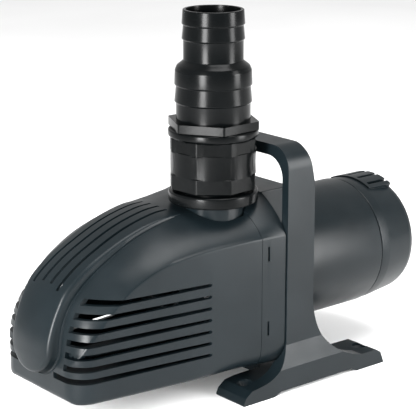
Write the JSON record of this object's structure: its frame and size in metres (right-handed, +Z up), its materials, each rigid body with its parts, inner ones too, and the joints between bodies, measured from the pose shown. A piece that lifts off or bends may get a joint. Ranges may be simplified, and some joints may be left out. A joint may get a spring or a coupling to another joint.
{
  "type": "fountain submersible pump",
  "caption": "Submersible fountain pump with a slotted strainer cage, canned rotor motor, stepped hose tail and a carrying hoop stand.",
  "frame": {"origin": "centre of the bounding box on the plane that the feet stand on", "axes": "+X along the motor shaft from the strainer nose to the motor, +Y across the pump, +Z up along the discharge"},
  "size_m": [0.3116, 0.13, 0.253],
  "materials": {
    "housing_plastic": "satin moulded charcoal",
    "fitting_plastic": "glossy moulded black",
    "rubber": "matt",
    "stainless_steel": "turned",
    "ceramic": "ground",
    "magnet": "moulded ferrite",
    "stator_steel": "stacked laminations",
    "copper_winding": "enamelled wire",
    "potting_resin": "cast"
  },
  "bodies": {
    "pump_body": {"rear_collar": "housing_plastic", "volute_casing": "housing_plastic", "volute_cover": "housing_plastic", "casing_screw_1": "stainless_steel", "casing_screw_2": "stainless_steel", "casing_screw_3": "stainless_steel", "casing_screw_4": "stainless_steel", "front_thrust_washer": "ceramic", "casing_seal": "rubber", "bearing_bracket": "housing_plastic", "motor_screw_1": "stainless_steel", "motor_screw_2": "stainless_steel", "motor_screw_3": "stainless_steel", "motor_screw_4": "stainless_steel", "front_bearing_mount": "rubber", "front_bearing": "ceramic", "rotor_can": "housing_plastic", "rear_thrust_washer": "ceramic", "rear_bearing": "ceramic", "rear_bearing_mount": "rubber", "stator_core": "stator_steel", "front_winding": "copper_winding", "rear_winding": "copper_winding", "stator_potting": "potting_resin", "motor_can": "housing_plastic", "saddle_box": "housing_plastic", "motor_end_cap": "housing_plastic", "end_cap_seal": "rubber", "cable_gland": "fitting_plastic", "gland_nut": "fitting_plastic", "cord_seal": "rubber", "outlet_ring": "fitting_plastic", "stand_frame": "housing_plastic", "stand_screw_1": "stainless_steel", "stand_screw_2": "stainless_steel"},
    "strainer": {"strainer_cage": "housing_plastic", "spine_panel": "housing_plastic"},
    "rotor": {"impeller": "fitting_plastic", "impeller_nut": "stainless_steel", "pump_shaft": "stainless_steel", "rotor_magnet": "magnet"},
    "union_nut": {"union_nut": "fitting_plastic"},
    "hose_tail": {"hose_tail": "fitting_plastic", "hose_tail_gasket": "rubber"}
  },
  "joints": [
    {"name": "strainer_slide", "type": "slide", "parent": "pump_body", "child": "strainer", "axis": [-1, 0, 0], "range_m": [0, 0.15]},
    {"name": "rotor_spin", "type": "hinge", "parent": "pump_body", "child": "rotor", "pos_m": [0, 0, 0.0713], "axis": [1, 0, 0], "continuous": true},
    {"name": "union_nut_turn", "type": "hinge", "parent": "pump_body", "child": "union_nut", "pos_m": [-0.02285, -0.0213, 0.155], "axis": [0, 0, 1], "continuous": true},
    {"name": "hose_tail_turn", "type": "hinge", "parent": "pump_body", "child": "hose_tail", "pos_m": [-0.02285, -0.0213, 0.2], "axis": [0, 0, 1], "continuous": true}
  ]
}
